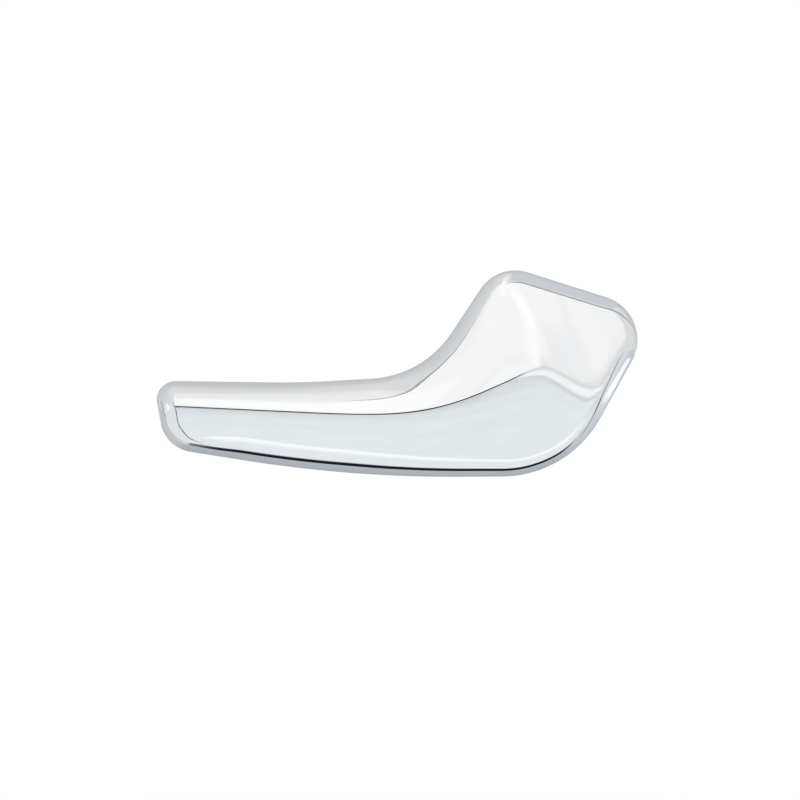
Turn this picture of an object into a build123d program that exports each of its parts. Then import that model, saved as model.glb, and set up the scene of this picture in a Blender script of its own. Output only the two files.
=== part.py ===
from build123d import *
import math
import os

# Inner release lever of a car door: a plated finger lever, the hinge pin it swings on and its return spring.
# Millimetres. X runs along the lever from the finger tip to the hinge end, Z is up,
# and the show face looks along -Y. The origin is on the hinge axis, half way up the hinge end.
os.makedirs("parts", exist_ok=True)

# Outline seen from the front: the corners before rounding, each with its radius
tip_top_x = -122.7
tip_top_z = -3.7
tip_top_radius = 5.4
arm_dip_x = -80.0
arm_dip_z = -4.3
arm_dip_radius = 260.0
elbow_x = -44.3
elbow_z = -2.2
elbow_radius = 30.0
peak_x = -22.5
peak_z = 30.7
peak_radius = 12.3
shoulder_x = 24.8
shoulder_z = 16.0
shoulder_radius = 13.1
heel_x = -2.0
heel_z = -31.6
heel_radius = 33.0
belly_x = -65.7
belly_z = -31.9
belly_radius = 390.0
tip_bottom_x = -119.3
tip_bottom_z = -23.2
tip_bottom_radius = 10.3

# Show face: a lower panel with a long bow in plan, and an upper face that rolls back from a crease
crest_height = 28.0
bow_start_x = -100.0
bow_radius = 580.0
panel_lean = 6.0
crease_tip_z = -11.0
crease_fall = 0.034
crease_climb = 13.4
crease_climb_start_x = -52.0
crease_climb_end_x = -5.0
arm_lean = 22.0
arm_roll_radius = 21.0
paddle_lean = 5.0
paddle_roll_radius = 420.0
roll_change_start_x = -78.0
roll_change_end_x = -20.0
rim_radius = 3.6
face_stations = 20

# Moulding: a hollow shell, open at the back, with a rounded lip and stiffening ribs
wall = 2.5
body_depth = 13.0
lip_radius = 0.9
rib_thickness = 1.6
rib_recess = 2.0
rib_first_x = -108.0
rib_last_x = -38.0
rib_pitch = 14.0

# Return spring: a torsion spring round the pin
wire_radius = 0.65
coil_clearance = 0.45
coil_turns = 4
coil_gap = 0.15
coil_side_room = 7.0
leg_turn = 30.0
free_leg_length = 14.0
seat_clearance = 0.3

# Hinge pin: a plain middle for the lever, turned down ends for the door's bezel
pin_radius = 2.5
pin_end_radius = 2.0
pin_end_length = 6.0
pin_chamfer = 0.4
pin_shoulder = 0.5
running_clearance = 0.05

# Hinge ears and cable hook
ear_thickness = 4.0
ear_wall = 3.0
ear_root_x = -3.0
ear_root_width = 20.0
hook_reach = 21.0
hook_wall = 3.0
nipple_radius = 3.2
cable_slot = 2.2

# Room by which trimming bodies reach past what they trim
trim_margin = 3.0

# A face belongs to the wall that runs along Y if its normal's share along Y stays under this
wall_tilt = 0.01

# Rounds in which the seat leg's length settles
seat_rounds = 5

# Sizes that follow from those above
wire_diameter = 2 * wire_radius
coil_radius = pin_radius + coil_clearance + wire_radius
coil_pitch = wire_diameter + coil_gap
coil_angle = 360.0 * (coil_turns + 1) - 2 * leg_turn
coil_height = coil_pitch * coil_angle / 360.0
ear_gap = coil_height + wire_diameter + 2 * coil_side_room
ear_radius = pin_radius + running_clearance + ear_wall
hook_radius = nipple_radius + hook_wall
pin_middle_length = ear_gap + 2 * (ear_thickness + pin_shoulder)
trim_depth = crest_height + hook_reach + hook_radius + trim_margin
trim_height = peak_z - belly_z
left_x = tip_top_x - trim_margin
right_x = shoulder_x + trim_margin
panel_slope = math.tan(math.radians(panel_lean))


def smooth_step(x, start, end):
    """0 before start, 1 after end, with a smooth change between."""
    share = min(max((x - start) / (end - start), 0.0), 1.0)
    return share * share * (3.0 - 2.0 * share)


def crest(x):
    """How far the lower panel stands in front of the hinge axis, at the height of the hinge's middle."""
    along = max(x - bow_start_x, 0.0)
    return crest_height - bow_radius + math.sqrt(bow_radius ** 2 - along ** 2)


def crease_z(x):
    """Height of the crease, which falls along the arm and climbs into the paddle."""
    fall = crease_fall * (x - tip_top_x)
    return crease_tip_z - fall + crease_climb * smooth_step(x, crease_climb_start_x, crease_climb_end_x)


def crease_y(x):
    """Where the crease lies in depth."""
    return -crest(x) - crease_z(x) * panel_slope


def floor_y(x, z):
    """Inside of the show wall behind the paddle's upper face."""
    lean = math.radians(paddle_lean)
    return crease_y(x) + (z - crease_z(x)) * math.tan(lean) + wall / math.cos(lean)


def upper_section(x, inset):
    """Points of the upper face's section, from above the outline down to its hidden foot, moved in by inset.

    The roll ends above the outline, or where it faces straight up.
    """
    paddle = smooth_step(x, roll_change_start_x, roll_change_end_x)
    lean = math.radians(arm_lean + (paddle_lean - arm_lean) * paddle)
    roll = 1.0 / ((1.0 - paddle) / arm_roll_radius + paddle / paddle_roll_radius)
    rise = smooth_step(x, elbow_x - elbow_radius / 2, peak_x)
    top = tip_top_z + trim_margin + (peak_z - tip_top_z) * rise
    steepest = math.asin(min(math.sin(lean) + (top - crease_z(x)) / roll, 1.0))
    points = []
    for angle in (steepest, (steepest + lean) / 2, lean):
        y = crease_y(x) + roll * math.cos(lean) - (roll - inset) * math.cos(angle)
        z = crease_z(x) - roll * math.sin(lean) + (roll - inset) * math.sin(angle)
        points.append((y, z))
    drop = points[2][1] - belly_z + trim_margin
    points.append((points[2][0] - drop * math.tan(lean), belly_z - trim_margin))
    return points


def bow_line(shift):
    """The lever's bow in plan, moved back by shift: a straight run along the arm, then a long arc."""
    middle_x = (bow_start_x + right_x) / 2
    start = (left_x, shift - crest(left_x))
    bend = (bow_start_x, shift - crest(bow_start_x))
    end = (right_x, shift - crest(right_x))
    Line(start, bend)
    ThreePointArc(bend, (middle_x, shift - crest(middle_x)), end)
    return start, end


def outline_bar(inset):
    """The lever's outline moved in by inset, as a long bar along Y."""
    with BuildPart() as bar:
        with BuildSketch(Plane.XZ):
            with BuildLine():
                FilletPolyline(
                    (tip_top_x, tip_top_z),
                    (arm_dip_x, arm_dip_z),
                    (elbow_x, elbow_z),
                    (peak_x, peak_z),
                    (shoulder_x, shoulder_z),
                    (heel_x, heel_z),
                    (belly_x, belly_z),
                    (tip_bottom_x, tip_bottom_z),
                    radius=[
                        tip_top_radius, arm_dip_radius, elbow_radius, peak_radius,
                        shoulder_radius, heel_radius, belly_radius, tip_bottom_radius,
                    ],
                    close=True,
                )
            make_face()
            if inset:
                offset(amount=-inset)
        extrude(amount=trim_depth, both=True)
    return bar.part


def wall_edges(part):
    """Edges that go round a body whose walls run along Y."""
    walls = part.faces().filter_by(lambda face: abs(face.normal_at().Y) < wall_tilt)
    return walls.edges().filter_by(Axis.Y, reverse=True)


def upper_blank(inset, rim):
    """Everything behind the upper face and inside the outline, with its front edge rounded by rim."""
    bar = outline_bar(inset)
    with BuildPart() as blank:
        for index in range(face_stations):
            x = left_x + (right_x - left_x) * index / (face_stations - 1)
            top, roll_middle, crease, foot = upper_section(x, inset)
            with BuildSketch(Plane.YZ.offset(x)):
                with BuildLine():
                    ThreePointArc(top, roll_middle, crease)
                    Polyline(crease, foot, (trim_depth, foot[1]), (trim_depth, top[1]), top)
                make_face()
        loft()
        add(bar, mode=Mode.INTERSECT)
        if rim:
            fillet(wall_edges(blank).filter_by(lambda edge: edge.center().Y < 0), rim)
    return blank.part


def panel_blank(inset, rim):
    """Everything behind the lower panel and inside the outline, with its front edge rounded by rim."""
    bar = outline_bar(inset)
    with BuildPart() as blank:
        with BuildSketch(Plane.XY):
            with BuildLine():
                start, end = bow_line(inset / math.cos(math.radians(panel_lean)))
                Polyline(end, (right_x, trim_depth), (left_x, trim_depth), start)
            make_face()
        extrude(amount=trim_height, dir=(0, -panel_slope, 1), both=True)
        add(bar, mode=Mode.INTERSECT)
        if rim:
            fillet(wall_edges(blank).filter_by(lambda edge: edge.center().Y < 0), rim)
    return blank.part


def before_lip(recess):
    """Everything in front of the moulding's back lip, less recess."""
    with BuildPart() as slab:
        with BuildSketch(Plane.XY):
            with BuildLine():
                start, end = bow_line(body_depth - recess)
                Polyline(end, (right_x, -trim_depth), (left_x, -trim_depth), start)
            make_face()
        extrude(amount=trim_height, both=True)
    return slab.part


# Lever, made from the outside in: skin, hollow, ribs, ears and hook
skin = upper_blank(0.0, rim_radius) & panel_blank(0.0, rim_radius) & before_lip(0.0)
hollow = upper_blank(wall, 0.0) & panel_blank(wall, 0.0)
half_wall = upper_blank(wall / 2, 0.0) & panel_blank(wall / 2, 0.0)
rib_room = half_wall & before_lip(rib_recess)

with BuildPart() as ribs:
    with BuildSketch(Plane.XZ):
        rib_number = int((rib_last_x - rib_first_x) / rib_pitch) + 1
        for index in range(rib_number):
            with Locations((rib_first_x + rib_pitch * index, 0.0)):
                Rectangle(rib_thickness, 2 * trim_height)
        with BuildLine():
            spine_start = (tip_bottom_x, (tip_top_z + tip_bottom_z) / 2)
            spine_end = (heel_x, heel_z / 2)
            Line(spine_start, spine_end)
        trace(line_width=rib_thickness)
    extrude(amount=trim_depth, both=True)
    add(rib_room, mode=Mode.INTERSECT)

with BuildPart() as ears:
    for side in (1, -1):
        with BuildSketch(Plane.XY.offset(side * (ear_gap + ear_thickness) / 2)):
            Circle(ear_radius)
            with Locations((ear_root_x, -crest_height)):
                Rectangle(ear_root_width, ear_wall)
            make_hull()
            if side < 0:
                with BuildSketch(mode=Mode.PRIVATE) as hook:
                    Circle(ear_radius)
                    with Locations((0.0, hook_reach)):
                        Circle(hook_radius)
                    make_hull()
                add(hook.sketch)
        extrude(amount=ear_thickness / 2, both=True)
    add(half_wall, mode=Mode.INTERSECT)

with BuildPart() as lever:
    add(skin)
    lip = wall_edges(lever).filter_by(lambda edge: edge.center().Y > body_depth / 2 - crest(edge.center().X))
    fillet(lip, lip_radius)
    add(hollow, mode=Mode.SUBTRACT)
    add(ribs.part)
    add(ears.part)
    Cylinder(pin_radius + running_clearance, 2 * ear_gap, mode=Mode.SUBTRACT)
    hook_z = -(ear_gap + ear_thickness) / 2
    with Locations((0.0, hook_reach, hook_z)):
        Cylinder(nipple_radius, 2 * ear_thickness, mode=Mode.SUBTRACT)
    with Locations((hook_radius, hook_reach, hook_z)):
        Box(2 * hook_radius, cable_slot, 2 * ear_thickness, mode=Mode.SUBTRACT)
lever.part.label = "lever"
export_step(lever.part, "parts/lever.step")

# Hinge pin
with BuildPart() as hinge_pin:
    Cylinder(pin_end_radius, pin_middle_length + 2 * pin_end_length)
    chamfer(hinge_pin.edges().filter_by(GeomType.CIRCLE), pin_chamfer)
    Cylinder(pin_radius, pin_middle_length)
hinge_pin.part.label = "hinge_pin"
export_step(hinge_pin.part, "parts/hinge_pin.step")

# Return spring: one leg lies against the inside of the paddle, the other is free for the door's bezel
leg_along_x = math.sin(math.radians(leg_turn))
leg_along_y = math.cos(math.radians(leg_turn))
leg_x = coil_radius * leg_along_y
leg_y = coil_radius * leg_along_x
seat_leg_length = free_leg_length
for _ in range(seat_rounds):
    reach_x = leg_x + seat_leg_length * leg_along_x
    seat_y = floor_y(reach_x, coil_height / 2) + seat_clearance + wire_radius
    seat_leg_length = (leg_y - seat_y) / leg_along_y

with BuildPart() as wound_wire:
    with BuildLine(Plane.XY.offset(-coil_height / 2)) as coil:
        Helix(pitch=coil_pitch, height=coil_height, radius=coil_radius, lefthand=True)
    with BuildSketch(Plane(coil.line @ 0, z_dir=coil.line % 0)):
        Circle(wire_radius)
    sweep(path=coil.line, is_frenet=True)
    ends = wound_wire.faces().filter_by(GeomType.PLANE).sort_by(Axis.Z)
    extrude(ends[0], amount=free_leg_length)
    extrude(ends[-1], amount=seat_leg_length)

with BuildPart() as return_spring:
    add(wound_wire.part, rotation=(0, 0, -leg_turn))
return_spring.part.label = "return_spring"
export_step(return_spring.part, "parts/return_spring.step")
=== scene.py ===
"""Looks of the inner release lever of a car door: bright plated moulding, hinge pin and return spring."""
import math
from collections import namedtuple

import bpy
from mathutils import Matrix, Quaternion, Vector
from mathutils.geometry import delaunay_2d_cdt, tessellate_polygon
from mathutils.kdtree import KDTree


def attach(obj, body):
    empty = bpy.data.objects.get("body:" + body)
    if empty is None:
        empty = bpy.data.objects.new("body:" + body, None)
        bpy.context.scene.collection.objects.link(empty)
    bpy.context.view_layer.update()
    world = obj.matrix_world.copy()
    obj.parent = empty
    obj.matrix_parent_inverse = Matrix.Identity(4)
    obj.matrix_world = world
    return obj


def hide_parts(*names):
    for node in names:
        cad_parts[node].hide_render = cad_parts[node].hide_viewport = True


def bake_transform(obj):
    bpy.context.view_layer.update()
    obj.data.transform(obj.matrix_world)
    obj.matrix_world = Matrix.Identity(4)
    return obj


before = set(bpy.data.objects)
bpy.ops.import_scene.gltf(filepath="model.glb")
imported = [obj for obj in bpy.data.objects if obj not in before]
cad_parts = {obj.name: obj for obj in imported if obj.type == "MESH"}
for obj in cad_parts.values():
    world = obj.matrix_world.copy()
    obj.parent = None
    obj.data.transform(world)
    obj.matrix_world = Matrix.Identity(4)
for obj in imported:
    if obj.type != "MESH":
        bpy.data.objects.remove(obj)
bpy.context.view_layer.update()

# Metres, in the frame of the solids: X from the finger tip to the hinge end, Z up along the hinge pin,
# and the show face looks along -Y

# Outline seen from the front: x, z and radius of each corner before rounding
TIP_TOP = (-0.1227, -0.0037, 0.0054)
ARM_DIP = (-0.0800, -0.0043, 0.2600)
ELBOW = (-0.0443, -0.0022, 0.0300)
PEAK = (-0.0225, 0.0307, 0.0123)
SHOULDER = (0.0248, 0.0160, 0.0131)
HEEL = (-0.0020, -0.0316, 0.0330)
BELLY = (-0.0657, -0.0319, 0.3900)
TIP_BOTTOM = (-0.1193, -0.0232, 0.0103)
OUTLINE = (TIP_TOP, ARM_DIP, ELBOW, PEAK, SHOULDER, HEEL, BELLY, TIP_BOTTOM)

# Rolled rim along the outline: x and z of a place on it, the rim's width there, its break from the face
# in degrees, and how far in the fine line lies there, with its share of the line's plain width and depth
RIM = (
    (-0.1195, -0.0040, 0.0052, 0.0, 0.0044, 0.0),
    (-0.1050, -0.0042, 0.0052, 0.0, 0.0048, 0.0),
    (-0.0800, -0.0043, 0.0056, 0.0, 0.0052, 0.0),
    (-0.0690, -0.0037, 0.0061, 1.0, 0.0061, 0.0),
    (-0.0631, -0.0033, 0.0062, 4.0, 0.0062, 0.4),
    (-0.0539, -0.0023, 0.0061, 11.0, 0.0061, 0.7),
    (-0.0502, -0.0011, 0.0060, 14.0, 0.0060, 1.4),
    (-0.0486, -0.0004, 0.0053, 14.0, 0.0053, 2.0),
    (-0.0447, 0.0017, 0.0044, 13.0, 0.0044, 1.0),
    (-0.0406, 0.0049, 0.0040, 10.0, 0.0040, 0.7),
    (-0.0368, 0.0091, 0.0040, 8.0, 0.0040, 0.5),
    (-0.0300, 0.0190, 0.0038, 2.0, 0.0038, 0.0),
    (-0.0225, 0.0275, 0.0037, 1.0, 0.0037, 0.0),
    (-0.0175, 0.0285, 0.0036, 8.0, 0.0036, 0.8),
    (-0.0150, 0.0280, 0.0036, 12.0, 0.0036, 1.0),
    (0.0100, 0.0205, 0.0034, 12.0, 0.0034, 1.0),
    (0.0141, 0.0181, 0.0034, 12.0, 0.0025, 1.0),
    (0.0160, 0.0161, 0.0034, 11.0, 0.0020, 1.0),
    (0.0177, 0.0128, 0.0034, 9.0, 0.0009, 0.9),
    (0.0184, 0.0100, 0.0034, 9.0, 0.0006, 0.0),
    (0.0176, 0.0035, 0.0036, 9.0, 0.0037, 0.0),
    (0.0160, 0.0005, 0.0038, 8.0, 0.0038, 0.8),
    (0.0105, -0.0095, 0.0042, 4.0, 0.0030, 0.9),
    (0.0057, -0.0180, 0.0046, 0.0, 0.0021, 0.85),
    (0.0036, -0.0203, 0.0047, 0.0, 0.0019, 0.8),
    (0.0015, -0.0222, 0.0047, 0.0, 0.0017, 0.0),
    (-0.0010, -0.0245, 0.0048, 0.0, 0.0014, 0.0),
    (-0.0050, -0.0278, 0.0048, 0.0, 0.0014, 0.0),
    (-0.0140, -0.0312, 0.0050, 0.0, 0.0014, 0.0),
    (-0.0350, -0.0315, 0.0058, 0.0, 0.0017, 0.0),
    (-0.0657, -0.0300, 0.0074, 0.0, 0.0021, 0.0),
    (-0.0970, -0.0270, 0.0075, 0.0, 0.0022, 0.0),
    (-0.1040, -0.0258, 0.0062, 4.0, 0.0022, 0.0),
    (-0.1066, -0.0254, 0.0056, 9.0, 0.0026, 0.0),
    (-0.1085, -0.0250, 0.0050, 14.0, 0.0031, 0.0),
    (-0.1110, -0.0246, 0.0045, 20.0, 0.0035, 0.8),
    (-0.1138, -0.0239, 0.0046, 18.0, 0.0043, 1.0),
    (-0.1170, -0.0221, 0.0051, 15.0, 0.0051, 1.0),
    (-0.1203, -0.0169, 0.0053, 13.0, 0.0053, 1.0),
    (-0.1214, -0.0125, 0.0054, 11.0, 0.0054, 1.0),
    (-0.1216, -0.0106, 0.0053, 3.0, 0.0046, 0.0),
)
# The rim's values are evened over this many outline points to either side
RIM_EVENING = 3

# Fine line beside the rim: half of its plain width, its plain depth, the share of the width that it keeps
# where it fades, the share up to which it has no depth, and the least way from it to the end of the rim
GROOVE_HALF_WIDTH = 0.00018
GROOVE_DEPTH = 0.00042
THINNEST_LINE = 0.15
NO_LINE = 0.02
LINE_MARGIN = 0.0004

# Show face: a lower panel with a long bow in plan, and an upper face that rolls back from a crease
CREST_HEIGHT = 0.028
BOW_START_X = -0.100
BOW_RADIUS = 0.580
PANEL_SLOPE = math.tan(math.radians(6.0))
CREASE_TIP_Z = -0.0105
CREASE_FALL = 0.047
CREASE_CLIMB = 0.0150
CREASE_CLIMB_POWER = 2.3
CREASE_CLIMB_START_X = -0.085
CREASE_CLIMB_END_X = -0.008
ARM_LEAN = 22.0
ARM_ROLL = 0.021
PADDLE_LEAN = 5.0
PADDLE_ROLL = 0.420
ROLL_CHANGE_START_X = -0.078
ROLL_CHANGE_END_X = -0.020
# Sine of the steepest turn that the upper face rolls to
ROLL_LIMIT = 0.99

# The panel curls a little, from less lean at the crease to more at its lower edge
PANEL_CURL = 0.035
PANEL_CURL_SPAN = 0.020

# Half width of the rounding along the crease: crisp to the elbow, soft at the hinge end and over the rim
# of the tip
CREASE_HALF_ARM = 0.00050
CREASE_HALF_ELBOW = 0.00018
CREASE_HALF_PADDLE = 0.0028
CREASE_HALF_TIP = 0.0060
CREASE_FADE_START_X = -0.022
CREASE_FADE_END_X = 0.0
CREASE_TIP_START_X = -0.1215
CREASE_TIP_END_X = -0.1158

# At the hinge end the crease dips, with a fold over it that leans to the peak further up,
# and the face bends back before the rim of the slanted edge
CREASE_DIP = 0.0059
CREASE_DIP_START_X = -0.0125
CREASE_DIP_END_X = 0.0072
FOLD_START = 0.006
FOLD_LEAN = 0.8
FOLD_EASE = 0.008
EDGE_BEND = 24.0
EDGE_BEND_X = 0.0079
EDGE_BEND_TILT = 0.482

# Moulding
WALL = 0.0025
BODY_DEPTH = 0.013
LIP_RADIUS = 0.0009
INNER_LIP_RADIUS = 0.0004
# Least height of the side wall between the rim and the lip
LEAST_SIDE = 0.0005
RIB_THICKNESS = 0.0016
# Ribs end this far before the lip, the long rib a little more, and reach into the side walls
RIB_RECESS = 0.002
SPINE_STEP = 0.0002
RIB_INSET = 0.8 * WALL
RIB_FIRST_X = -0.108
RIB_PITCH = 0.014
RIB_COUNT = 6
EAR_INNER_Z = 0.011154
EAR_THICKNESS = 0.004
EAR_RADIUS = 0.00555
EAR_ROOT_LEFT = (-0.013, -0.0265)
EAR_ROOT_RIGHT = (0.007, -0.0265)
BORE_RADIUS = 0.00255
HOOK_REACH = 0.021
HOOK_RADIUS = 0.0062
NIPPLE_RADIUS = 0.0032
CABLE_SLOT = 0.0022

# Spring and pin
WIRE_RADIUS = 0.00065
COIL_RADIUS = 0.0036
COIL_PITCH = 0.00145
COIL_ANGLE = math.radians(1740.0)
LEG_TURN = math.radians(30.0)
FREE_LEG_LENGTH = 0.014
SEAT_CLEARANCE = 0.0003
PIN_RADIUS = 0.0025
PIN_END_RADIUS = 0.0020
PIN_HALF_MIDDLE = 0.015654
PIN_HALF_LENGTH = 0.021654
PIN_CHAMFER = 0.0004
PIN_EDGE = 0.00012
# Rounded end of the wire: the share of its radius that a ring has, and how far out the ring lies, in radii
WIRE_END = ((0.80, 0.14), (0.35, 0.30))

# Fineness of the meshes
OUTLINE_STEP = 0.0005
OUTLINE_TURN = math.radians(5.0)
FACE_STEP = 0.0009
FLOOR_STEP = 0.0012
RIM_STEPS = 12
LIP_STEPS = 5
EAR_ARC_STEPS = 28
NIPPLE_ARC_STEPS = 32
BORE_SIDES = 36
PIN_SIDES = 48
WIRE_SIDES = 14
COIL_STEPS = 200
LEG_STEPS = 12
# Rows that follow the outline, on the show face and on the floor inside, up to the end of the rolled rim
FACE_LOOPS = 8
FLOOR_LOOPS = 6
# Rows to either side of the crease that follow it, and how far out they reach
CREASE_ROWS = 10
CREASE_BAND = 0.0030
# Shares of a step that the points of a filled face keep from its border and from the rows of the crease
BORDER_GAP = 0.7
CREASE_GAP = 0.3
# How the triangles of a filled face are made: only those inside the border, with points merged this close
ONLY_INSIDE = 1
MERGE_GAP = 1e-9
# Rounds in which the roots of the ears and the leg of the spring are fitted to the show wall
SEAT_ROUNDS = 6
# Least cosine on the rim, and steps over which slopes are measured
LEAST_COSINE = 0.000001
SLOPE_PROBE = 0.00001
SKIN_PROBE = 0.0003
# Edges sharper than this, in degrees, are shaded as edges
SHARP_MOULDING = 35.0
SHARP_PIN = 30.0
SHARP_WIRE = 60.0
# Finishes of the moulding, in the order of its materials
SHOW = 0
BACK = 1


def smooth_step(value, start, end):
    """0 before start, 1 after end, with a smooth change between."""
    share = min(max((value - start) / (end - start), 0.0), 1.0)
    return share * share * (3.0 - 2.0 * share)


def smoother_step(value, start, end):
    """0 before start, 1 after end, with a change that starts and ends without a jump in its bend."""
    share = min(max((value - start) / (end - start), 0.0), 1.0)
    return share ** 3 * (6.0 * share ** 2 - 15.0 * share + 10.0)


def crest(x):
    """How far the lower panel stands in front of the hinge axis, at the height of the hinge's middle."""
    along = max(x - BOW_START_X, 0.0)
    return CREST_HEIGHT - BOW_RADIUS + math.sqrt(BOW_RADIUS ** 2 - along ** 2)


def crease_dip(x):
    """How far the crease dips at the hinge end."""
    return CREASE_DIP * smoother_step(x, CREASE_DIP_START_X, CREASE_DIP_END_X)


def crease_z(x):
    """Height of the crease, which falls along the arm, climbs into the paddle and dips before the rim."""
    along = (x - CREASE_CLIMB_START_X) / (CREASE_CLIMB_END_X - CREASE_CLIMB_START_X)
    climb = CREASE_CLIMB * smooth_step(max(along, 0.0) ** CREASE_CLIMB_POWER, 0.0, 1.0)
    return CREASE_TIP_Z - CREASE_FALL * (x - TIP_TOP[0]) + climb - crease_dip(x)


def fold_shift(x, above):
    """How much lower the upper face starts than the crease, this far above it, because the fold leans."""
    high = max(above - FOLD_START, 0.0)
    return crease_dip(x + FOLD_LEAN * high ** 2 / (high + FOLD_EASE)) - crease_dip(x)


def to_paddle(x):
    """0 on the arm, 1 on the paddle."""
    return smooth_step(x, ROLL_CHANGE_START_X, ROLL_CHANGE_END_X)


def crease_half_width(x):
    """Half width of the rounding along the crease."""
    hinge_end = smooth_step(x, CREASE_FADE_START_X, CREASE_FADE_END_X)
    tip = 1.0 - smooth_step(x, CREASE_TIP_START_X, CREASE_TIP_END_X)
    crisp = CREASE_HALF_ARM + (CREASE_HALF_ELBOW - CREASE_HALF_ARM) * to_paddle(x)
    return crisp + (CREASE_HALF_PADDLE - crisp) * hinge_end + CREASE_HALF_TIP * tip


def front(x, z):
    """Depth of the show face before its rim: the panel and the upper face, joined by a rounded crease."""
    above = z - crease_z(x)
    panel = -crest(x) - z * PANEL_SLOPE
    if above < 0:
        panel += PANEL_CURL * above * (above / PANEL_CURL_SPAN + 1.0)
    paddle = to_paddle(x)
    lean = math.radians(ARM_LEAN + (PADDLE_LEAN - ARM_LEAN) * paddle)
    shift = fold_shift(x, above)
    upper = -crest(x) - (crease_z(x) - shift) * PANEL_SLOPE
    if above > 0:
        roll = 1.0 / ((1.0 - paddle) / ARM_ROLL + paddle / PADDLE_ROLL)
        turn = min(math.sin(lean) + (above + shift) / roll, ROLL_LIMIT)
        upper += roll * (math.cos(lean) - math.sqrt(1.0 - turn ** 2))
    else:
        upper += above * math.tan(lean)
    blend = crease_half_width(x) * (math.tan(lean) + PANEL_SLOPE)
    overlap = max(blend - abs(upper - panel), 0.0) / blend
    bend = max(x - EDGE_BEND_X - z * EDGE_BEND_TILT, 0.0)
    return max(upper, panel) + overlap ** 2 * blend / 4 + EDGE_BEND * bend ** 2


def front_slope(x, z):
    """Slopes of the show face along X and Z."""
    along_x = front(x + SLOPE_PROBE, z) - front(x - SLOPE_PROBE, z)
    along_z = front(x, z + SLOPE_PROBE) - front(x, z - SLOPE_PROBE)
    return along_x / (2 * SLOPE_PROBE), along_z / (2 * SLOPE_PROBE)


def lip_y(x):
    """Depth of the moulding's back edge."""
    return BODY_DEPTH - crest(x)


def rounded_outline(corners, step):
    """The closed outline as (point, inward normal, way along it), and its whole length."""
    arcs = []
    for index, (x, z, radius) in enumerate(corners):
        here = Vector((x, z))
        back = (Vector(corners[index - 1][:2]) - here).normalized()
        ahead = (Vector(corners[(index + 1) % len(corners)][:2]) - here).normalized()
        half = back.angle(ahead) / 2
        centre = here + (back + ahead).normalized() * radius / math.sin(half)
        side = -1.0 if ahead.x * back.y - ahead.y * back.x < 0 else 1.0
        start = here + back * radius / math.tan(half)
        arcs.append((start, centre, radius, math.pi - 2 * half, side))
    points = []
    way = 0.0
    for index, (start, centre, radius, turn, side) in enumerate(arcs):
        count = max(math.ceil(radius * turn / step), math.ceil(turn / OUTLINE_TURN))
        for number in range(count + 1):
            angle = side * turn * number / count
            arm = start - centre
            turned = Vector((
                arm.x * math.cos(angle) - arm.y * math.sin(angle),
                arm.x * math.sin(angle) + arm.y * math.cos(angle),
            ))
            inward = turned.normalized() * side
            points.append((centre + turned, inward, way + radius * turn * number / count))
        way += radius * turn
        end = points[-1][0]
        inward = points[-1][1]
        following = arcs[(index + 1) % len(arcs)][0]
        length = (following - end).length
        count = max(math.ceil(length / step), 1)
        for number in range(1, count):
            share = number / count
            points.append((end.lerp(following, share), inward, way + length * share))
        way += length
    return points, way


def between_places(way, places, total, values):
    """A value that is given at some places along the outline, changed evenly between them."""
    for index, value in enumerate(values):
        start = places[index]
        following = (index + 1) % len(values)
        span = (places[following] - start) % total
        along = (way - start) % total
        if along <= span:
            return value + (values[following] - value) * along / span
    return values[0]


class Draft:
    """Points, shading normals and faces of one mesh, as they are worked out."""

    def __init__(self):
        self.points = []
        self.normals = []
        self.faces = []
        self.finishes = []

    def add(self, point, normal=None):
        self.points.append(point)
        self.normals.append(normal)
        return len(self.points) - 1

    def face(self, corners, finish=SHOW):
        self.faces.append(tuple(corners))
        self.finishes.append(finish)

    def bridge(self, first, second, finish=SHOW):
        """Faces between two closed rows of points."""
        for index in range(len(first)):
            following = (index + 1) % len(first)
            self.face((first[index], first[following], second[following], second[index]), finish)

    def tube(self, rows, finish=SHOW):
        """Faces between closed rows of points, and over the first and the last row."""
        for first, second in zip(rows, rows[1:]):
            self.bridge(first, second, finish)
        self.face(reversed(rows[0]), finish)
        self.face(rows[-1], finish)

    def finish(self, name, materials, sharp_angle):
        """The mesh as an object of the scene."""
        mesh = bpy.data.meshes.new(name)
        mesh.from_pydata(self.points, [], self.faces)
        for material in materials:
            mesh.materials.append(material)
        mesh.polygons.foreach_set("material_index", self.finishes)
        mesh.shade_smooth()
        mesh.set_sharp_from_angle(angle=math.radians(sharp_angle))
        if any(self.normals):
            # A zero vector leaves the normal to the mesh
            plain = Vector((0.0, 0.0, 0.0))
            mesh.normals_split_custom_set([self.normals[loop.vertex_index] or plain for loop in mesh.loops])
        mesh.validate()
        piece = bpy.data.objects.new(name, mesh)
        bpy.context.scene.collection.objects.link(piece)
        return piece


def height_span(border, x, inset):
    """Lowest and highest point of a closed border at one x, moved in by inset."""
    crossings = []
    for index, start in enumerate(border):
        end = border[(index + 1) % len(border)]
        if (start.x <= x) != (end.x <= x):
            crossings.append(start.y + (end.y - start.y) * (x - start.x) / (end.x - start.x))
    return min(crossings) + inset, max(crossings) - inset


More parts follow.
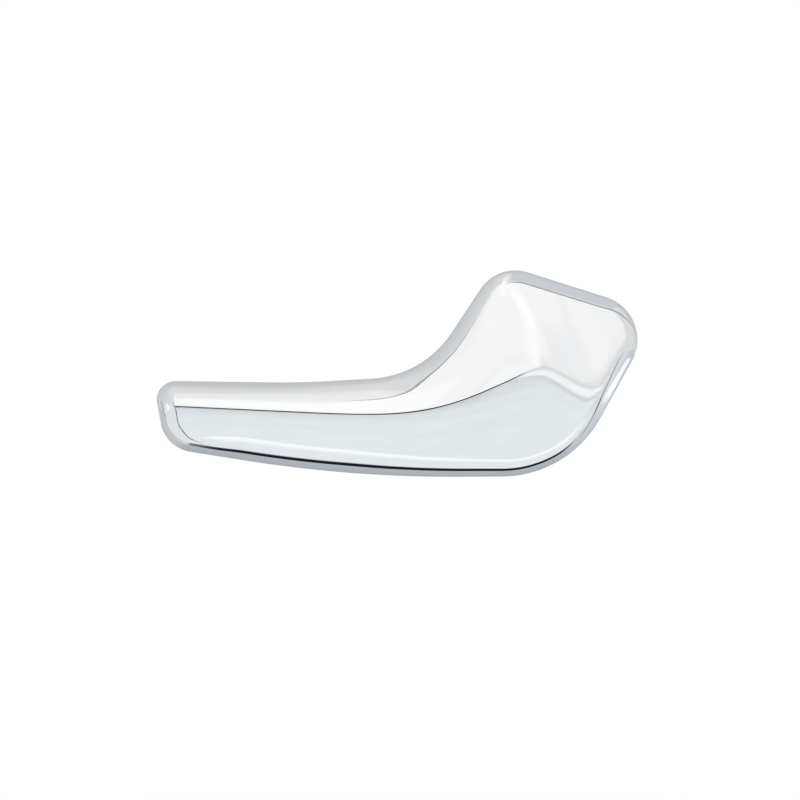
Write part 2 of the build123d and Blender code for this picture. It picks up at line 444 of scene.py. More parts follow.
def fill_points(border, step, with_crease):
    """Points inside a closed border, in upright columns, and the edges of rows that follow the crease."""
    low_x = min(p.x for p in border)
    high_x = max(p.x for p in border)
    shares = [number / CREASE_ROWS for number in range(-CREASE_ROWS, CREASE_ROWS + 1)]
    crease_offsets = [CREASE_BAND * share * abs(share) for share in shares] if with_crease else []
    keep_clear = CREASE_BAND + CREASE_GAP * step if with_crease else 0.0
    inside = []
    edges = []
    last_column = {}
    columns = int((high_x - low_x) / step)
    for number in range(1, columns):
        x = low_x + (high_x - low_x) * number / columns
        low_z, high_z = height_span(border, x, step * BORDER_GAP)
        rows = max(int((high_z - low_z) / step), 1)
        # Every second column is shifted by half a row
        shift = 0.5 * (number % 2)
        middle = crease_z(x)
        for row in range(rows + 1):
            z = low_z + (high_z - low_z) * min((row + shift) / rows, 1.0)
            if abs(z - middle) > keep_clear:
                inside.append(Vector((x, z)))
        column = {}
        for offset in crease_offsets:
            if low_z < middle + offset < high_z:
                column[offset] = len(inside)
                if offset in last_column:
                    edges.append((last_column[offset], column[offset]))
                inside.append(Vector((x, middle + offset)))
        last_column = column
    return inside, edges


def fill(draft, border_rows, depth, normal, finish, step, with_crease, flip):
    """Closes a border with triangles on the surface that depth(x, z) gives."""
    border = [Vector((draft.points[row][0], draft.points[row][2])) for row in border_rows]
    inside, rows_along = fill_points(border, step, with_crease)
    count = len(border)
    edges = [(index, (index + 1) % count) for index in range(count)]
    edges += [(start + count, end + count) for start, end in rows_along]
    filled = delaunay_2d_cdt(border + inside, edges, [], ONLY_INSIDE, MERGE_GAP)
    flat, _, triangles, origins, _, _ = filled
    rows = []
    for point, origin in zip(flat, origins):
        if origin and origin[0] < len(border):
            rows.append(border_rows[origin[0]])
        else:
            rows.append(draft.add((point.x, depth(point.x, point.y), point.y), normal(point.x, point.y)))
    for triangle in triangles:
        corners = [rows[index] for index in triangle]
        draft.face(reversed(corners) if flip else corners, finish)


def evened(values):
    """Each value as the mean of its neighbours along the closed outline."""
    count = len(values)
    means = []
    for index in range(count):
        near = [values[(index + step) % count] for step in range(-RIM_EVENING, RIM_EVENING + 1)]
        means.append(sum(near) / len(near))
    return means


Station = namedtuple("Station", "point inward width radius flatness line_place line_half line_depth")


def rim_stations(outline, total):
    """The outline's points and inward normals, with the shape of the rim and its fine line there."""
    places = []
    for x, z, *_ in RIM:
        nearest = min(outline, key=lambda row: (row[0] - Vector((x, z))).length)
        places.append(nearest[2])
    _, _, *rim_values = zip(*RIM)
    columns = []
    for values in rim_values:
        columns.append(evened([between_places(way, places, total, values) for _, _, way in outline]))
    stations = []
    for (point, inward, _), width, angle, line_place, line_share in zip(outline, *columns):
        radius = width / (1.0 - math.sin(math.radians(angle)))
        line_half = GROOVE_HALF_WIDTH * max(line_share, THINNEST_LINE)
        line_depth = GROOVE_DEPTH * line_share if line_share > NO_LINE else 0.0
        room = lip_y(point.x) - LIP_RADIUS - LEAST_SIDE - front(point.x, point.y)
        flatness = min(room / rim_drop(0.0, width, radius), 1.0)
        stations.append(Station(point, inward, width, radius, flatness, line_place, line_half, line_depth))
    return stations


def rim_drop(distance, width, radius):
    """How far the rim rolls back from the show face, this far in from the outline."""
    if distance >= width:
        return 0.0
    return math.sqrt(radius ** 2 - (radius - width) ** 2) - math.sqrt(radius ** 2 - (radius - distance) ** 2)


class Skin:
    """The show face with a plain rolled rim, as a depth over the front view. The inside follows it."""

    def __init__(self, stations):
        self.stations = stations
        self.tree = KDTree(len(stations))
        for index, station in enumerate(stations):
            self.tree.insert((station.point.x, station.point.y, 0.0), index)
        self.tree.balance()

    def depth(self, x, z):
        _, index, distance = self.tree.find((x, z, 0.0))
        station = self.stations[index]
        return front(x, z) + station.flatness * rim_drop(distance, station.width, station.width)

    def behind(self, x, z, thickness):
        """Depth of the surface that lies this far behind the skin."""
        slope_x = (self.depth(x + SKIN_PROBE, z) - self.depth(x - SKIN_PROBE, z)) / (2 * SKIN_PROBE)
        slope_z = (self.depth(x, z + SKIN_PROBE) - self.depth(x, z - SKIN_PROBE)) / (2 * SKIN_PROBE)
        return self.depth(x, z) + thickness * math.sqrt(1.0 + slope_x ** 2 + slope_z ** 2)


def face_normal(x, z):
    """Shading normal of the show face."""
    slope_x, slope_z = front_slope(x, z)
    return Vector((slope_x, -1.0, slope_z)).normalized()


def rim_at(station, distance):
    """Place and shading normal on the rim or the face, this far in from the outline."""
    at = station.point + station.inward * distance
    slope_x, slope_z = front_slope(at.x, at.y)
    lean = 0.0
    if distance < station.width:
        sine = 1.0 - distance / station.radius
        lean = station.flatness * sine / max(math.sqrt(1.0 - sine ** 2), LEAST_COSINE)
    rolled_x = slope_x - station.inward.x * lean
    rolled_z = slope_z - station.inward.y * lean
    normal = Vector((rolled_x, -1.0, rolled_z)).normalized()
    drop = station.flatness * rim_drop(distance, station.width, station.radius)
    return (at.x, front(at.x, at.y) + drop, at.y), normal


def add_skin(draft, stations):
    """The show face with its rim and fine line, and the side wall to the lip, whose last row it returns."""
    outer = []
    for number in range(RIM_STEPS + 1):
        loop = []
        for station in stations:
            line_angle = math.asin(1.0 - (station.line_place - station.line_half) / station.radius)
            angle = math.pi / 2 + (line_angle - math.pi / 2) * number / RIM_STEPS
            loop.append(draft.add(*rim_at(station, station.radius * (1.0 - math.sin(angle)))))
        outer.append(loop)
    groove = []
    for side, sunk in ((-1.0, 0.0), (0.0, 1.0), (1.0, 0.0)):
        loop = []
        for station in stations:
            (x, y, z), normal = rim_at(station, station.line_place + station.line_half * side)
            own_normal = None if station.line_depth else normal
            loop.append(draft.add((x, y + station.line_depth * sunk, z), own_normal))
        groove.append(loop)
    inner = []
    for number in range(FACE_LOOPS + 1):
        loop = []
        for station in stations:
            start = station.line_place + station.line_half
            end = max(station.width, start + LINE_MARGIN)
            loop.append(draft.add(*rim_at(station, start + (end - start) * number / FACE_LOOPS)))
        inner.append(loop)
    for loops in (outer, groove, inner):
        for first, second in zip(loops, loops[1:]):
            draft.bridge(second, first)
    fill(draft, inner[-1], front, face_normal, SHOW, FACE_STEP, with_crease=True, flip=False)
    previous = outer[0]
    for number in range(LIP_STEPS + 1):
        turn = math.pi / 2 * number / LIP_STEPS
        loop = []
        for station in stations:
            at = station.point + station.inward * LIP_RADIUS * (1.0 - math.cos(turn))
            y = lip_y(station.point.x) - LIP_RADIUS * (1.0 - math.sin(turn))
            outward = -station.inward * math.cos(turn)
            loop.append(draft.add((at.x, y, at.y), Vector((outward.x, math.sin(turn), outward.y))))
        draft.bridge(previous, loop, BACK if number else SHOW)
        previous = loop
    return previous


def add_hollow(draft, skin, lip):
    """The flat of the lip, the inside walls and the inside of the show wall."""
    previous = lip
    for distance, set_back in ((WALL - INNER_LIP_RADIUS, 0.0), (WALL, INNER_LIP_RADIUS)):
        loop = []
        for station in skin.stations:
            at = station.point + station.inward * distance
            loop.append(draft.add((at.x, lip_y(station.point.x) - set_back, at.y)))
        draft.bridge(previous, loop, BACK)
        previous = loop
    for number in range(FLOOR_LOOPS + 1):
        loop = []
        for station in skin.stations:
            end = max(station.width, WALL + LINE_MARGIN)
            at = station.point + station.inward * (WALL + (end - WALL) * number / FLOOR_LOOPS)
            loop.append(draft.add((at.x, skin.behind(at.x, at.y, WALL), at.y)))
        draft.bridge(previous, loop, BACK)
        previous = loop

    def inside(x, z):
        return skin.behind(x, z, WALL)

    fill(draft, previous, inside, lambda x, z: None, BACK, FLOOR_STEP, with_crease=False, flip=True)


def add_rib(draft, skin, start, end, recess):
    """A rib between two points of the front view, from inside the show wall to just before the lip."""
    along = end - start
    count = max(int(along.length / FLOOR_STEP), 2)
    aside = Vector((-along.y, along.x)).normalized() * RIB_THICKNESS / 2
    rows = []
    for number in range(count + 1):
        middle = start.lerp(end, number / count)
        row = []
        for side in (-1.0, 1.0):
            at = middle + aside * side
            row.append(draft.add((at.x, skin.behind(at.x, at.y, WALL / 2), at.y)))
            row.append(draft.add((at.x, lip_y(at.x) - recess, at.y)))
        rows.append((row[0], row[1], row[3], row[2]))
    draft.tube(rows, BACK)


def tangent_point(outside, radius, side):
    """Where a line from a point outside touches a circle round the origin."""
    away = math.hypot(*outside)
    angle = math.atan2(outside[1], outside[0]) + side * math.acos(radius / away)
    return radius * math.cos(angle), radius * math.sin(angle)


def arc(centre, radius, start, end, count):
    """Points along an arc, with the angles in radians."""
    points = []
    for number in range(count + 1):
        angle = start + (end - start) * number / count
        points.append((centre[0] + radius * math.cos(angle), centre[1] + radius * math.sin(angle)))
    return points


def ring(radius, count):
    """Points round the origin."""
    return arc((0.0, 0.0), radius, 0.0, 2 * math.pi, count)[:-1]


def ear_outline(skin, z, with_hook):
    """Outline of a hinge ear at one height, as points in plan. Its root ends inside the show wall."""
    right = tangent_point(EAR_ROOT_RIGHT, EAR_RADIUS, 1)
    left = tangent_point(EAR_ROOT_LEFT, EAR_RADIUS, -1)
    roots = []
    for touch, root in ((left, EAR_ROOT_LEFT), (right, EAR_ROOT_RIGHT)):
        share = 1.0
        for _ in range(SEAT_ROUNDS):
            x = touch[0] + (root[0] - touch[0]) * share
            share = (touch[1] - skin.behind(x, z, WALL / 2)) / (touch[1] - root[1])
        roots.append((touch[0] + (root[0] - touch[0]) * share, touch[1] + (root[1] - touch[1]) * share))
    if with_hook:
        centre = (0.0, HOOK_REACH)
        half_slot = CABLE_SLOT / 2
        mouth = math.asin(half_slot / HOOK_RADIUS)
        throat = math.asin(half_slot / NIPPLE_RADIUS)
        around = [right, (HOOK_RADIUS * math.cos(mouth), HOOK_REACH - half_slot)]
        around += arc(centre, NIPPLE_RADIUS, -throat, throat - 2 * math.pi, NIPPLE_ARC_STEPS)
        around += arc(centre, HOOK_RADIUS, mouth, math.pi, EAR_ARC_STEPS)
        around += [left]
    else:
        start = math.atan2(right[1], right[0])
        end = math.atan2(left[1], left[0])
        around = arc((0.0, 0.0), EAR_RADIUS, start, end, EAR_ARC_STEPS)
    return [roots[1]] + around + [roots[0]]


def add_ear(draft, skin, low_z, with_hook):
    """A hinge ear, bored for the pin. The lower one carries the hook for the cable."""
    bore = ring(BORE_RADIUS, BORE_SIDES)
    rims = []
    bores = []
    for z in (low_z, low_z + EAR_THICKNESS):
        rims.append([draft.add((x, y, z)) for x, y in ear_outline(skin, z, with_hook)])
        bores.append([draft.add((x, y, z)) for x, y in bore])
    draft.bridge(rims[0], rims[1], BACK)
    draft.bridge(bores[1], bores[0], BACK)
    for level, flip in ((0, True), (1, False)):
        rows = rims[level] + bores[level]
        loops = [[Vector(draft.points[row]) for row in loop] for loop in (rims[level], bores[level])]
        for triangle in tessellate_polygon(loops):
            corners = [rows[index] for index in triangle]
            a, b, c = (Vector(draft.points[row]) for row in corners)
            upward = (b - a).cross(c - a).z > 0
            draft.face(reversed(corners) if upward == flip else corners, BACK)


def make_lever(skin, materials):
    """The plated moulding: skin, hollow, ribs, hinge ears and cable hook."""
    draft = Draft()
    lip = add_skin(draft, skin.stations)
    add_hollow(draft, skin, lip)
    outline = [station.point for station in skin.stations]
    for index in range(RIB_COUNT):
        x = RIB_FIRST_X + RIB_PITCH * index
        low, high = height_span(outline, x, RIB_INSET)
        add_rib(draft, skin, Vector((x, low)), Vector((x, high)), RIB_RECESS)
    spine_start = Vector((TIP_BOTTOM[0], (TIP_TOP[1] + TIP_BOTTOM[1]) / 2))
    spine_end = Vector((HEEL[0], HEEL[1] / 2))
    add_rib(draft, skin, spine_start, spine_end, RIB_RECESS + SPINE_STEP)
    add_ear(draft, skin, EAR_INNER_Z, with_hook=False)
    add_ear(draft, skin, -EAR_INNER_Z - EAR_THICKNESS, with_hook=True)
    return draft.finish("lever_moulding", materials, SHARP_MOULDING)


def make_pin(material):
    """The turned hinge pin, as a profile spun about Z."""
    half = (
        (PIN_RADIUS, 0.0),
        (PIN_RADIUS, PIN_HALF_MIDDLE - PIN_EDGE),
        (PIN_RADIUS - PIN_EDGE, PIN_HALF_MIDDLE),
        (PIN_END_RADIUS, PIN_HALF_MIDDLE),
        (PIN_END_RADIUS, PIN_HALF_LENGTH - PIN_CHAMFER),
        (PIN_END_RADIUS - PIN_CHAMFER, PIN_HALF_LENGTH),
    )
    profile = [(radius, -z) for radius, z in reversed(half)] + list(half[1:])
    draft = Draft()
    rows = []
    for radius, z in profile:
        rows.append([draft.add((x, y, z)) for x, y in ring(radius, PIN_SIDES)])
    draft.tube(rows)
    return draft.finish("hinge_pin_turned", [material], SHARP_PIN)


def spring_line(skin):
    """Centre line of the spring: free leg, coil, and the leg that reaches the inside of the paddle."""
    rise = COIL_PITCH / (2 * math.pi * COIL_RADIUS)
    half_height = COIL_PITCH * COIL_ANGLE / (4 * math.pi)
    points = []
    for number in range(COIL_STEPS + 1):
        share = number / COIL_STEPS
        angle = -LEG_TURN - COIL_ANGLE * share
        x = COIL_RADIUS * math.cos(angle)
        y = COIL_RADIUS * math.sin(angle)
        points.append(Vector((x, y, half_height * (2 * share - 1))))
    free_way = Vector((math.sin(LEG_TURN), math.cos(LEG_TURN), -rise)).normalized()
    seat_way = Vector((math.sin(LEG_TURN), -math.cos(LEG_TURN), rise)).normalized()
    reach = FREE_LEG_LENGTH
    for _ in range(SEAT_ROUNDS):
        end = points[-1] + seat_way * reach
        seat = skin.behind(end.x, end.z, WALL) + SEAT_CLEARANCE + WIRE_RADIUS
        reach = (points[-1].y - seat) / -seat_way.y
    free_leg = []
    seat_leg = []
    for number in range(LEG_STEPS):
        free_leg.append(points[0] + free_way * FREE_LEG_LENGTH * (LEG_STEPS - number) / LEG_STEPS)
        seat_leg.append(points[-1] + seat_way * reach * (number + 1) / LEG_STEPS)
    return free_leg + points + seat_leg


def make_spring(skin, material):
    """The torsion spring as a round wire along its centre line, with rounded ends."""
    line = spring_line(skin)
    draft = Draft()
    rows = []
    for index, at in enumerate(line):
        before = line[max(index - 1, 0)]
        after = line[min(index + 1, len(line) - 1)]
        way = (after - before).normalized()
        aside = way.cross(Vector((0.0, 0.0, 1.0))).normalized()
        up = aside.cross(way)
        sections = [(1.0, 0.0)]
        if index == 0:
            sections = [(swell, -shift) for swell, shift in reversed(WIRE_END)] + sections
        if index == len(line) - 1:
            sections += WIRE_END
        for swell, shift in sections:
            centre = at + way * WIRE_RADIUS * shift
            section = ring(WIRE_RADIUS * swell, WIRE_SIDES)
            rows.append([draft.add(centre + aside * a + up * b) for a, b in section])
    draft.tube(rows)
    return draft.finish("return_spring_wire", [material], SHARP_WIRE)


# Materials: the span of a noise's values that is used, its detail, the strength of relief, and the tint of
# metal at grazing angles
NOISE_LOW = 0.3
NOISE_HIGH = 0.7
TINT_DETAIL = 3.0
STREAK_DETAIL = 4.0
RELIEF_STRENGTH = 0.3
EDGE_TINT = (0.78, 0.79, 0.80, 1.0)
NO_STRETCH = (1.0, 1.0, 1.0)


def new_material(name):
    """An empty node material and its principled shader."""
    material = bpy.data.materials.new(name)
    material.use_nodes = True
    return material, material.node_tree, material.node_tree.nodes["Principled BSDF"]


def add_noise(tree, scale, detail, stretch=NO_STRETCH):
    """A noise texture in object space, stretched along the axes."""
    coordinates = tree.nodes.new("ShaderNodeTexCoord")
    mapping = tree.nodes.new("ShaderNodeMapping")
    mapping.inputs["Scale"].default_value = stretch
    noise = tree.nodes.new("ShaderNodeTexNoise")
    noise.inputs["Scale"].default_value = scale
    noise.inputs["Detail"].default_value = detail
    tree.links.new(coordinates.outputs["Object"], mapping.inputs["Vector"])
    tree.links.new(mapping.outputs["Vector"], noise.inputs["Vector"])
    return noise


def add_range(tree, source, low, high):
    """A texture's middle values, spread from low to high."""
    spread = tree.nodes.new("ShaderNodeMapRange")
    spread.inputs["From Min"].default_value = NOISE_LOW
    spread.inputs["From Max"].default_value = NOISE_HIGH
    spread.inputs["To Min"].default_value = low
    spread.inputs["To Max"].default_value = high
    tree.links.new(source.outputs["Fac"], spread.inputs["Value"])
    return spread


def add_tint(tree, source, dark, light):
    """A colour that wanders between two tints with a texture."""
    ramp = tree.nodes.new("ShaderNodeValToRGB")
    ramp.color_ramp.elements[0].position = NOISE_LOW
    ramp.color_ramp.elements[0].color = (*dark, 1.0)
    ramp.color_ramp.elements[1].position = NOISE_HIGH
    ramp.color_ramp.elements[1].color = (*light, 1.0)
    tree.links.new(source.outputs["Fac"], ramp.inputs["Fac"])
    return ramp


def add_bump(tree, shader, source, distance):
    """Fine relief from a texture."""
    bump = tree.nodes.new("ShaderNodeBump")
    bump.inputs["Strength"].default_value = RELIEF_STRENGTH
    bump.inputs["Distance"].default_value = distance
    tree.links.new(source.outputs["Fac"], bump.inputs["Height"])
    tree.links.new(bump.outputs["Normal"], shader.inputs["Normal"])


def metal(name, dark, light, tint_scale, smooth, rough, streaks, streak_scale, relief):
    """Bare metal whose tint and gloss wander, with streaks that are given as a stretch along the axes."""
    material, tree, shader = new_material(name)
    shader.inputs["Metallic"].default_value = 1.0
    shader.inputs["Specular Tint"].default_value = EDGE_TINT
    tint = add_tint(tree, add_noise(tree, tint_scale, TINT_DETAIL), dark, light)
    tree.links.new(tint.outputs["Color"], shader.inputs["Base Color"])
    fine = add_noise(tree, streak_scale, STREAK_DETAIL, streaks)
    gloss = add_range(tree, fine, smooth, rough)
    tree.links.new(gloss.outputs["Result"], shader.inputs["Roughness"])
    if relief:
        add_bump(tree, shader, fine, relief)
    return material


plated = metal(
    "bright_chrome", dark=(0.685, 0.690, 0.695), light=(0.705, 0.709, 0.713), tint_scale=60.0,
    smooth=0.015, rough=0.035, streaks=NO_STRETCH, streak_scale=900.0, relief=0.0,
)
plated_back = metal(
    "chrome_inside", dark=(0.56, 0.565, 0.57), light=(0.66, 0.665, 0.67), tint_scale=140.0,
    smooth=0.15, rough=0.24, streaks=NO_STRETCH, streak_scale=1200.0, relief=0.00001,
)
pin_steel = metal(
    "ground_steel", dark=(0.46, 0.46, 0.455), light=(0.58, 0.58, 0.57), tint_scale=300.0,
    smooth=0.18, rough=0.36, streaks=(1.0, 1.0, 30.0), streak_scale=260.0, relief=0.00002,
)
spring_steel = metal(
    "drawn_wire", dark=(0.30, 0.31, 0.33), light=(0.46, 0.47, 0.49), tint_scale=420.0,
    smooth=0.22, rough=0.42, streaks=(6.0, 6.0, 40.0), streak_scale=300.0, relief=0.00002,
)

skin = Skin(rim_stations(*rounded_outline(OUTLINE, OUTLINE_STEP)))
lever = make_lever(skin, [plated, plated_back])
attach(lever, "lever_body")
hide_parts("lever")

pin = make_pin(pin_steel)
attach(pin, "pivot")
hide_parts("hinge_pin")

spring = make_spring(skin, spring_steel)
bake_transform(spring)
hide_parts("return_spring")

# Camera: straight on to the show face, at the photograph's scale
CAMERA_X = -0.05105
CAMERA_Z = -0.00934
CAMERA_DISTANCE = 1.2
# Width of the picture, measured in a plane through the lever
FRAME_WIDTH = 0.23338
SCALE_PLANE_Y = -0.014
SENSOR = 36.0
camera_data = bpy.data.cameras.new("camera")
camera_data.sensor_width = SENSOR
camera_data.lens = SENSOR * CAMERA_DISTANCE / FRAME_WIDTH
camera = bpy.data.objects.new("camera", camera_data)
camera.location = (CAMERA_X, SCALE_PLANE_Y - CAMERA_DISTANCE, CAMERA_Z)
camera.rotation_euler = (math.pi / 2, 0.0, 0.0)
bpy.context.scene.collection.objects.link(camera)
bpy.context.scene.camera = camera

# Studio: a white room, with cards that only show as reflections
STUDIO_MIDDLE = Vector((-0.05, -0.022, -0.005))
FLOOR_Z = -0.14
FLOOR_HALF_SIZE = 6.0
FLOOR_COLOUR = (0.80, 0.80, 0.80, 1.0)
FLOOR_ROUGHNESS = 0.9
# The floor shows some of its own shade round the point under the studio's middle: this far out it is plain
# white, and inside the core it has this share of plain white
SHADOW_POOL = 0.21
SHADOW_CORE = SHADOW_POOL / 3
CORE_WHITE = 0.6
SOFT_LIGHT = (0.75, 0.75, 0.75, 1.0)
WHITE = (1.0, 1.0, 1.0, 1.0)
MOTTLE_SCALE = 11.0
MOTTLE_DETAIL = 2.0


def rectangle(name, low, high):
    """A flat mesh between two corners."""
    mesh = bpy.data.meshes.new(name)
    corners = [(low[0], low[1], 0), (high[0], low[1], 0), (high[0], high[1], 0), (low[0], high[1], 0)]
    mesh.from_pydata(corners, [], [(0, 1, 2, 3)])
    return mesh


def card(name, azimuths, elevations, distance, colour, soft, roll=0.0):
    """A flat card that the metal reflects, given by the angles that it covers, seen from the lever."""
    azimuth = math.radians(sum(azimuths) / 2)
    elevation = math.radians(sum(elevations) / 2)
    way = Vector((
        math.sin(azimuth) * math.cos(elevation),
        -math.cos(azimuth) * math.cos(elevation),
        math.sin(elevation),
    ))
    half_width = distance * math.tan(math.radians(azimuths[1] - azimuths[0]) / 2) * math.cos(elevation)
    half_height = distance * math.tan(math.radians(elevations[1] - elevations[0]) / 2)
    mesh = rectangle(name, (-half_width, -half_height), (half_width, half_height))
    mesh.materials.append(card_material(name, colour, soft))
    piece = bpy.data.objects.new(name, mesh)
    piece.location = STUDIO_MIDDLE + way * distance
    spin = Quaternion((0.0, 0.0, 1.0), math.radians(roll))
    piece.rotation_euler = (way.to_track_quat("Z", "Y") @ spin).to_euler()
    show_in_reflections(piece)


def show_in_reflections(piece):
    """Keeps a studio piece out of everything but reflections."""
    bpy.context.scene.collection.objects.link(piece)
    piece.visible_camera = False
    piece.visible_diffuse = False
    piece.visible_shadow = False
    piece.visible_transmission = False


def card_material(name, colour, soft, mottle=0.0):
    """Light of one colour that fades out at the left, right, lower and upper edge.

    The softness is the share of the card over which each edge fades, and mottle is how uneven the light is.
    """
    material, tree, _ = new_material(name)
    tree.nodes.clear()
    coordinates = tree.nodes.new("ShaderNodeTexCoord")
    axes = tree.nodes.new("ShaderNodeSeparateXYZ")
    tree.links.new(coordinates.outputs["Generated"], axes.inputs["Vector"])
    mask = None
    for axis, (low, high) in (("X", soft[:2]), ("Y", soft[2:])):
        for start, end in ((0.0, low), (1.0, 1.0 - high)):
            ramp = tree.nodes.new("ShaderNodeMapRange")
            ramp.interpolation_type = "SMOOTHSTEP"
            ramp.inputs["From Min"].default_value = start
            ramp.inputs["From Max"].default_value = end
            tree.links.new(axes.outputs[axis], ramp.inputs["Value"])
            if mask is None:
                mask = ramp.outputs["Result"]
                continue
            product = tree.nodes.new("ShaderNodeMath")
            product.operation = "MULTIPLY"
            tree.links.new(mask, product.inputs[0])
            tree.links.new(ramp.outputs["Result"], product.inputs[1])
            mask = product.outputs["Value"]
    clear = tree.nodes.new("ShaderNodeBsdfTransparent")
    light = tree.nodes.new("ShaderNodeEmission")
    light.inputs["Color"].default_value = (*colour, 1.0)
    if mottle:
        uneven = add_range(tree, add_noise(tree, MOTTLE_SCALE, MOTTLE_DETAIL), 1.0 - mottle, 1.0 + mottle)
        tree.links.new(uneven.outputs["Result"], light.inputs["Strength"])
    mix = tree.nodes.new("ShaderNodeMixShader")
    tree.links.new(mask, mix.inputs["Fac"])
    tree.links.new(clear.outputs["BSDF"], mix.inputs[1])
    tree.links.new(light.outputs["Emission"], mix.inputs[2])
    output = tree.nodes.new("ShaderNodeOutputMaterial")
    tree.links.new(mix.outputs["Shader"], output.inputs["Surface"])
    return material


def all_round(share):
    """The same softness at all four edges of a card."""
    return share, share, share, share


BLACK = (0.010, 0.011, 0.014)
NAVY = (0.012, 0.015, 0.024)

# Cards round the lever: azimuths and elevations in degrees, where 0 is straight in front of the show face
# and azimuth grows towards +X, then the distance, colour, softness of the edges, and roll
card("lens_wall", (-13.0, 17.0), (-10.0, 8.0), 0.80, BLACK, (0.08, 0.08, 0.40, 0.08))
card("ridge_strip", (16.0, 48.0), (-5.5, 5.5), 0.78, (1.29, 1.30, 1.31), (0.10, 0.10, 0.35, 0.55))
card("strip_box", (-11.0, 12.0), (36.0, 66.0), 0.95, (1.42, 1.415, 1.41), (0.25, 0.25, 0.20, 0.45))
card("strip_fade", (-32.0, 32.0), (48.0, 100.0), 0.96, (1.20, 1.195, 1.19), (0.35, 0.35, 0.30, 0.50))
card("elbow_fill", (-8.0, 17.0), (15.0, 50.0), 0.89, (1.40, 1.395, 1.39), (0.30, 0.40, 0.40, 0.20))
card("top_fill", (-45.0, 16.0), (50.0, 112.0), 1.00, (1.12, 1.12, 1.11), all_round(0.40))
card("paddle_box", (-40.0, 50.0), (10.0, 46.0), 0.90, (1.31, 1.305, 1.30), (0.35, 0.10, 0.10, 0.10))
card("crease_glow", (-12.0, 26.0), (8.5, 13.0), 0.85, (1.32, 1.32, 1.32), all_round(0.35))
card("edge_fill", (26.0, 60.0), (5.0, 24.0), 0.88, (1.22, 1.22, 1.23), (0.25, 0.50, 0.30, 0.30))
card("streak_high", (11.0, 25.0), (11.0, 34.0), 0.86, (1.44, 1.44, 1.44), all_round(0.45))
card("streak_low", (11.0, 25.0), (9.0, 16.0), 0.86, (1.38, 1.38, 1.38), all_round(0.45), -30.0)
card("back_wall", (110.0, 250.0), (-15.0, 75.0), 1.20, (0.82, 0.835, 0.86), all_round(0.35))
card("left_shade", (-170.0, -38.0), (-12.0, 75.0), 1.10, (0.85, 0.87, 0.89), (0.10, 0.65, 0.10, 0.30))
card("edge_box", (56.0, 92.0), (-13.0, 6.0), 0.62, (0.96, 1.00, 1.05), (0.35, 0.35, 0.02, 0.60))
card("tip_glow", (-101.0, -21.0), (-22.5, 11.5), 0.80, (1.08, 1.12, 1.16), (0.04, 0.40, 0.30, 0.25), 17.0)
card("tip_spark", (-90.0, -56.0), (-10.0, 9.0), 0.76, (1.48, 1.48, 1.48), all_round(0.50))
card("tip_line", (-106.0, -99.0), (-24.0, 12.0), 0.78, (0.35, 0.37, 0.39), (0.45, 0.45, 0.30, 0.30))


def floor_card(name, low, high, colour, soft, lift, mottle=0.0):
    """A card that lies level above the floor, between two corners."""
    mesh = rectangle(name, low, high)
    mesh.materials.append(card_material(name, colour, soft, mottle))
    piece = bpy.data.objects.new(name, mesh)
    piece.location = (0.0, 0.0, FLOOR_Z + lift)
    show_in_reflections(piece)


# Level cards: x and y of two corners, colour, softness of the edges, and height above the floor
floor_card("far_floor", (-0.60, -1.70), (0.70, -0.55), (0.93, 0.96, 0.99), all_round(0.10), 0.001)
floor_card(
    "lower_box", (-0.55, -1.05), (0.60, -0.028), (1.10, 1.15, 1.18), (0.05, 0.05, 0.40, 0.02), 0.002,
    mottle=0.03,
)
floor_card("bottom_glow", (-0.35, -0.35), (0.25, -0.11), (1.33, 1.37, 1.39), (0.40, 0.20, 0.42, 0.42), 0.004)
floor_card("back_floor", (-0.60, -0.020), (0.60, 0.90), (0.62, 0.65, 0.70), all_round(0.03), 0.003)
floor_card("right_floor", (0.04, -0.10), (0.90, 0.70), (0.82, 0.86, 0.90), all_round(0.15), 0.005)
floor_card("left_floor", (-0.90, -0.45), (-0.125, 0.03), (1.04, 1.08, 1.12), (0.10, 0.10, 0.10, 0.35), 0.005)
floor_card("bottom_strip", (-0.15, -0.044), (0.15, -0.002), NAVY, (0.09, 0.25, 0.30, 0.15), 0.006)
floor_card("left_back", (-2.00, -0.05), (-0.15, 1.20), (0.76, 0.79, 0.82), (0.10, 0.03, 0.03, 0.10), 0.0045)
floor_card("edge_shade", (0.19, -0.42), (0.80, -0.01), (0.95, 0.99, 1.04), (0.20, 0.20, 0.30, 0.15), 0.0065)
floor_card("edge_stripe", (0.22, -0.05), (0.50, 0.34), (1.40, 1.44, 1.46), (0.35, 0.35, 0.25, 0.30), 0.007)
floor_card("canopy", (0.00, -0.80), (0.95, 0.75), (0.84, 0.87, 0.90), (0.08, 0.20, 0.20, 0.20), 1.14)


def seen_rays(tree):
    """1 for rays of the camera, mirrored rays and rays that pass through, and 0 for rays that only light."""
    light_path = tree.nodes.new("ShaderNodeLightPath")
    seen = light_path.outputs["Is Camera Ray"]
    for name in ("Is Glossy Ray", "Is Transmission Ray"):
        either = tree.nodes.new("ShaderNodeMath")
        either.operation = "MAXIMUM"
        tree.links.new(seen, either.inputs[0])
        tree.links.new(light_path.outputs[name], either.inputs[1])
        seen = either.outputs["Value"]
    return seen


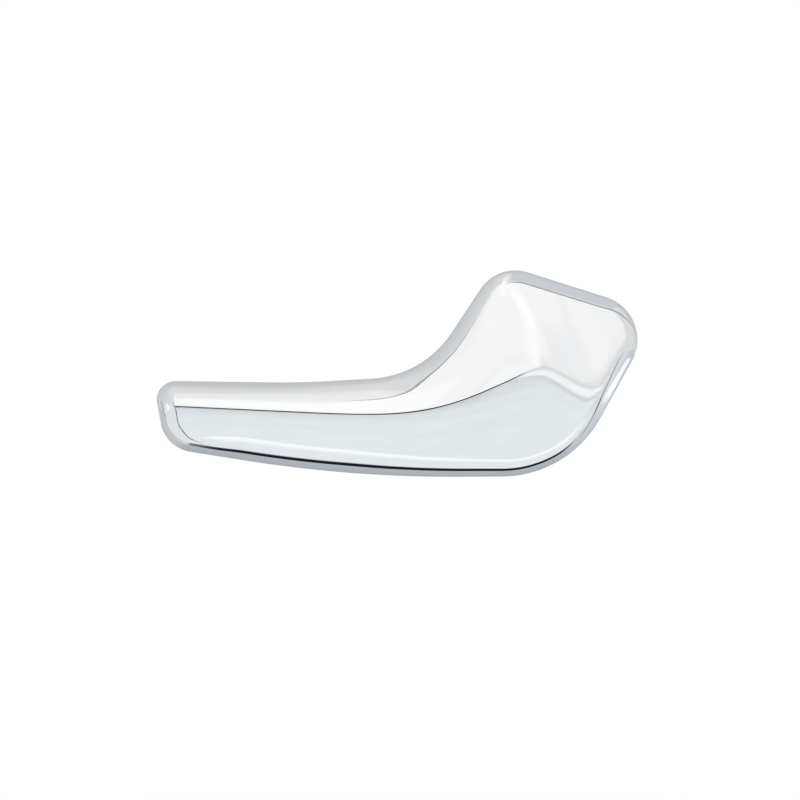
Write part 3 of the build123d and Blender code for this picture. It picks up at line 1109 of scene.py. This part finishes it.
def make_floor():
    """A pale floor that looks white and keeps a soft shadow under the lever."""
    mesh = rectangle("floor", (-FLOOR_HALF_SIZE, -FLOOR_HALF_SIZE), (FLOOR_HALF_SIZE, FLOOR_HALF_SIZE))
    material, tree, shader = new_material("pale_floor")
    shader.inputs["Base Color"].default_value = FLOOR_COLOUR
    shader.inputs["Roughness"].default_value = FLOOR_ROUGHNESS
    shader.inputs["Specular IOR Level"].default_value = 0.0
    white = tree.nodes.new("ShaderNodeEmission")
    coordinates = tree.nodes.new("ShaderNodeTexCoord")
    away = tree.nodes.new("ShaderNodeVectorMath")
    away.operation = "LENGTH"
    fade = tree.nodes.new("ShaderNodeMapRange")
    fade.interpolation_type = "SMOOTHSTEP"
    fade.inputs["From Min"].default_value = SHADOW_CORE
    fade.inputs["From Max"].default_value = SHADOW_POOL
    fade.inputs["To Min"].default_value = CORE_WHITE
    fade.inputs["To Max"].default_value = 1.0
    share = tree.nodes.new("ShaderNodeMath")
    share.operation = "MULTIPLY"
    mix = tree.nodes.new("ShaderNodeMixShader")
    tree.links.new(coordinates.outputs["Object"], away.inputs[0])
    tree.links.new(away.outputs["Value"], fade.inputs["Value"])
    tree.links.new(seen_rays(tree), share.inputs[0])
    tree.links.new(fade.outputs["Result"], share.inputs[1])
    tree.links.new(share.outputs["Value"], mix.inputs["Fac"])
    tree.links.new(shader.outputs["BSDF"], mix.inputs[1])
    tree.links.new(white.outputs["Emission"], mix.inputs[2])
    tree.links.new(mix.outputs["Shader"], tree.nodes["Material Output"].inputs["Surface"])
    mesh.materials.append(material)
    floor = bpy.data.objects.new("floor", mesh)
    floor.location = (STUDIO_MIDDLE.x, STUDIO_MIDDLE.y, FLOOR_Z)
    bpy.context.scene.collection.objects.link(floor)


def make_world():
    """White to the camera and in reflections, and a plain soft light on everything."""
    world = bpy.data.worlds.new("studio")
    bpy.context.scene.world = world
    world.use_nodes = True
    tree = world.node_tree
    tree.nodes.clear()
    lighting = tree.nodes.new("ShaderNodeBackground")
    lighting.inputs["Color"].default_value = SOFT_LIGHT
    white = tree.nodes.new("ShaderNodeBackground")
    white.inputs["Color"].default_value = WHITE
    mix = tree.nodes.new("ShaderNodeMixShader")
    tree.links.new(seen_rays(tree), mix.inputs["Fac"])
    tree.links.new(lighting.outputs["Background"], mix.inputs[1])
    tree.links.new(white.outputs["Background"], mix.inputs[2])
    output = tree.nodes.new("ShaderNodeOutputWorld")
    tree.links.new(mix.outputs["Shader"], output.inputs["Surface"])


def make_lamp(name, location, size, power):
    """A soft lamp that looks at the lever."""
    data = bpy.data.lights.new(name, "AREA")
    data.size = size
    data.energy = power
    lamp = bpy.data.objects.new(name, data)
    lamp.location = location
    aim = STUDIO_MIDDLE - Vector(location)
    lamp.rotation_euler = aim.to_track_quat("-Z", "Y").to_euler()
    lamp.visible_glossy = False
    bpy.context.scene.collection.objects.link(lamp)


make_floor()
make_world()
make_lamp("key", location=(-0.5, -0.7, 0.9), size=0.6, power=6.0)
make_lamp("fill", location=(0.7, 0.5, 0.8), size=0.8, power=4.0)

bpy.context.scene.view_settings.view_transform = "Standard"
